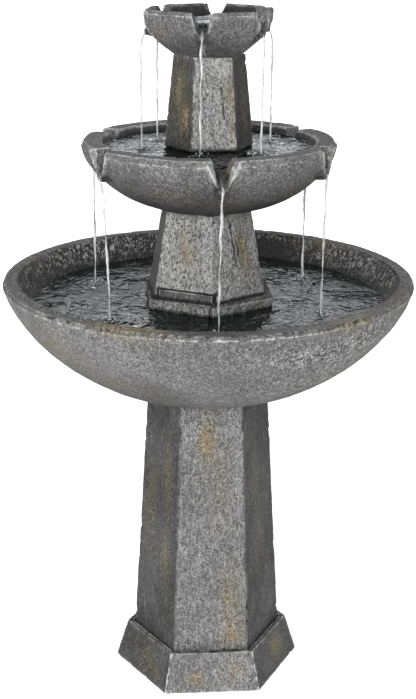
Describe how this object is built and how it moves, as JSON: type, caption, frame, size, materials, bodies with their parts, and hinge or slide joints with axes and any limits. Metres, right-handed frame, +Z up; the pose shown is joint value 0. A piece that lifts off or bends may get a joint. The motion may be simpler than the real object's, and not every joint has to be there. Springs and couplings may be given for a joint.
{
  "type": "tiered water fountain",
  "caption": "Three-tier cast-stone garden fountain: hexagonal columns carry a wide basin and two spouted bowls, with a recirculating pump behind a lift-out door.",
  "frame": {"origin": "centre of the pedestal's foot on the ground", "axes": "+Z up; -Y is the direction that a flat front face of the base column looks"},
  "size_m": [0.6248, 0.6248, 1.05],
  "materials": {
    "cast_stone": "weathered grey cast stone, speckled, with ochre stains",
    "pump_plastic": "matt",
    "dial_plastic": "satin",
    "rubber": "matt",
    "filter_foam": "open-cell foam",
    "clear_vinyl": "translucent",
    "magnet": "sintered ferrite",
    "ceramic": "polished"
  },
  "bodies": {
    "root": {"base_plinth": "cast_stone", "base_column": "cast_stone", "lower_basin": "cast_stone", "middle_column": "cast_stone", "middle_bowl": "cast_stone", "upper_column": "cast_stone", "top_bowl": "cast_stone", "riser_tube": "clear_vinyl", "middle_bowl_grommet": "rubber", "top_outlet_nozzle": "pump_plastic", "nozzle_gasket": "rubber", "nozzle_nut": "pump_plastic", "basin_cord_bung": "rubber", "pump_body": "pump_plastic", "rear_shaft_bush": "rubber", "pump_shaft": "ceramic", "pump_volute_cover": "pump_plastic", "front_shaft_bush": "rubber", "pump_outlet_adapter": "pump_plastic", "pump_cable_gland": "rubber", "suction_foot_1": "rubber", "suction_foot_2": "rubber", "suction_foot_3": "rubber", "suction_foot_4": "rubber"},
    "impeller_set": {"pump_impeller": "dial_plastic", "pump_rotor_magnet": "magnet"},
    "intake_cover": {"pump_intake_cover": "pump_plastic", "pump_filter_foam": "filter_foam"},
    "flow_dial": {"pump_flow_dial": "dial_plastic"},
    "access_door": {"pump_access_door": "cast_stone"}
  },
  "joints": [
    {"name": "impeller_spin", "type": "hinge", "parent": "root", "child": "impeller_set", "pos_m": [0, 0, 0.521], "axis": [-0.5, -0.866, 0], "continuous": true},
    {"name": "intake_cover_slide", "type": "slide", "parent": "root", "child": "intake_cover", "axis": [-0.5, -0.866, 0], "range_m": [0, 0.025]},
    {"name": "flow_dial_turn", "type": "hinge", "parent": "intake_cover", "child": "flow_dial", "pos_m": [0, 0, 0.5055], "axis": [-0.5, -0.866, 0], "range_deg": [0, 90]},
    {"name": "access_door_slide", "type": "slide", "parent": "root", "child": "access_door", "axis": [-0.5, -0.866, 0], "range_m": [0, 0.06]}
  ]
}
